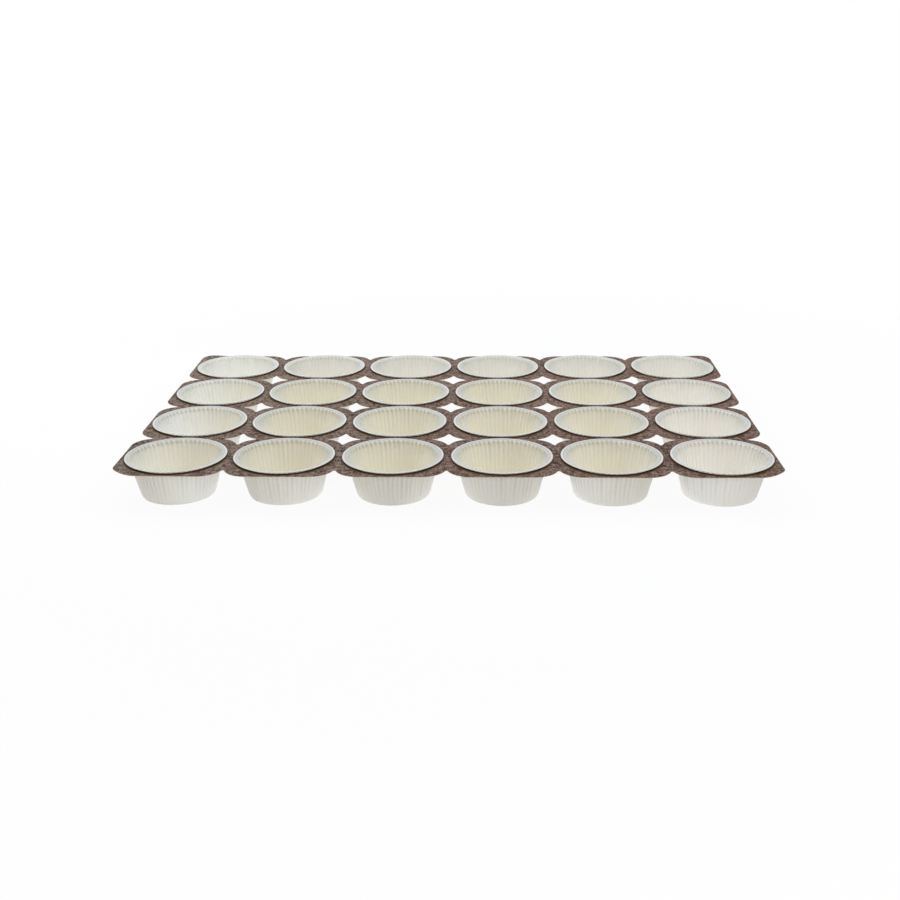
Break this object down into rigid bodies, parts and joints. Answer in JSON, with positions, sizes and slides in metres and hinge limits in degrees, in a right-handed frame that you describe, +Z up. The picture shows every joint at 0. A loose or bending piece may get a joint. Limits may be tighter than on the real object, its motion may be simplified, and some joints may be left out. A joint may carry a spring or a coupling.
{
  "type": "paper muffin tray",
  "caption": "Flat die-cut brown card that carries a grid of open white pleated paper baking cups with rolled rims, with star openings between the cups.",
  "frame": {"origin": "on the table, under the middle of the tray", "axes": "+X along the long side of the tray, +Z up out of the cups; the front row of cups is on the -Y side"},
  "size_m": [0.582, 0.384, 0.036],
  "materials": {
    "card": "matte, uncoated",
    "paper": "matte"
  },
  "bodies": {
    "root": {"tray_card": "card", "cup_row1_col1": "paper", "cup_row1_col2": "paper", "cup_row1_col3": "paper", "cup_row1_col4": "paper", "cup_row1_col5": "paper", "cup_row1_col6": "paper", "cup_row2_col1": "paper", "cup_row2_col2": "paper", "cup_row2_col3": "paper", "cup_row2_col4": "paper", "cup_row2_col5": "paper", "cup_row2_col6": "paper", "cup_row3_col1": "paper", "cup_row3_col2": "paper", "cup_row3_col3": "paper", "cup_row3_col4": "paper", "cup_row3_col5": "paper", "cup_row3_col6": "paper", "cup_row4_col1": "paper", "cup_row4_col2": "paper", "cup_row4_col3": "paper", "cup_row4_col4": "paper", "cup_row4_col5": "paper", "cup_row4_col6": "paper"}
  },
  "joints": []
}
